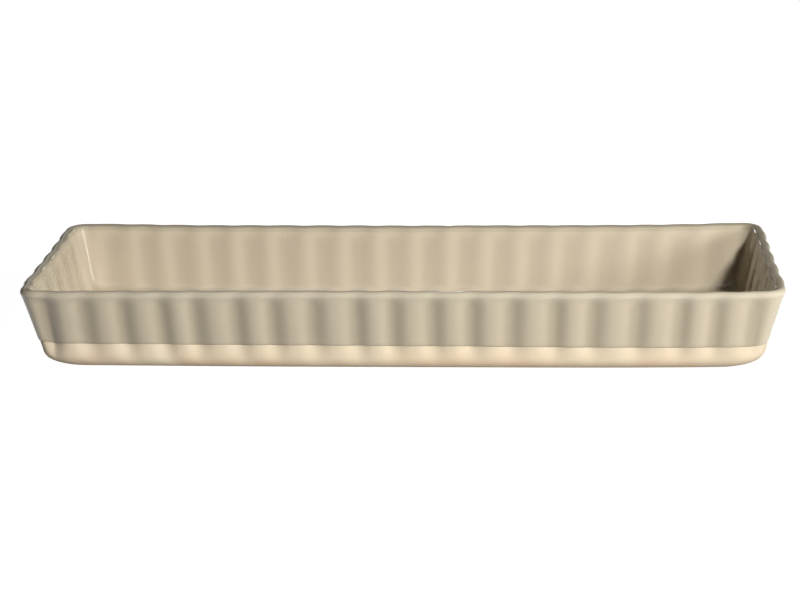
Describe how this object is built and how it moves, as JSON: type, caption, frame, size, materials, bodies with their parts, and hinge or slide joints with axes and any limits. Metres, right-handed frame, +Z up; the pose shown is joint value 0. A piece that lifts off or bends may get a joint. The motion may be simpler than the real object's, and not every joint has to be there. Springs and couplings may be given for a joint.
{
  "type": "rectangular baking dish",
  "caption": "Slim rectangular ceramic baking dish for tarts, with leaning fluted walls, a smooth rounded lip, glossy glaze inside and out, and a bare clay foot.",
  "frame": {"origin": "middle of the plane that the foot ring stands on", "axes": "+X along the dish, +Y across it, +Z up out of the open top"},
  "size_m": [0.3598, 0.1298, 0.04],
  "materials": {
    "bare_clay": "matte cream stoneware, fine grain, faint pink mottling",
    "glaze": "glossy grey-beige glaze"
  },
  "bodies": {
    "root": {"clay_body": "bare_clay", "glaze_coat": "glaze"}
  },
  "joints": []
}
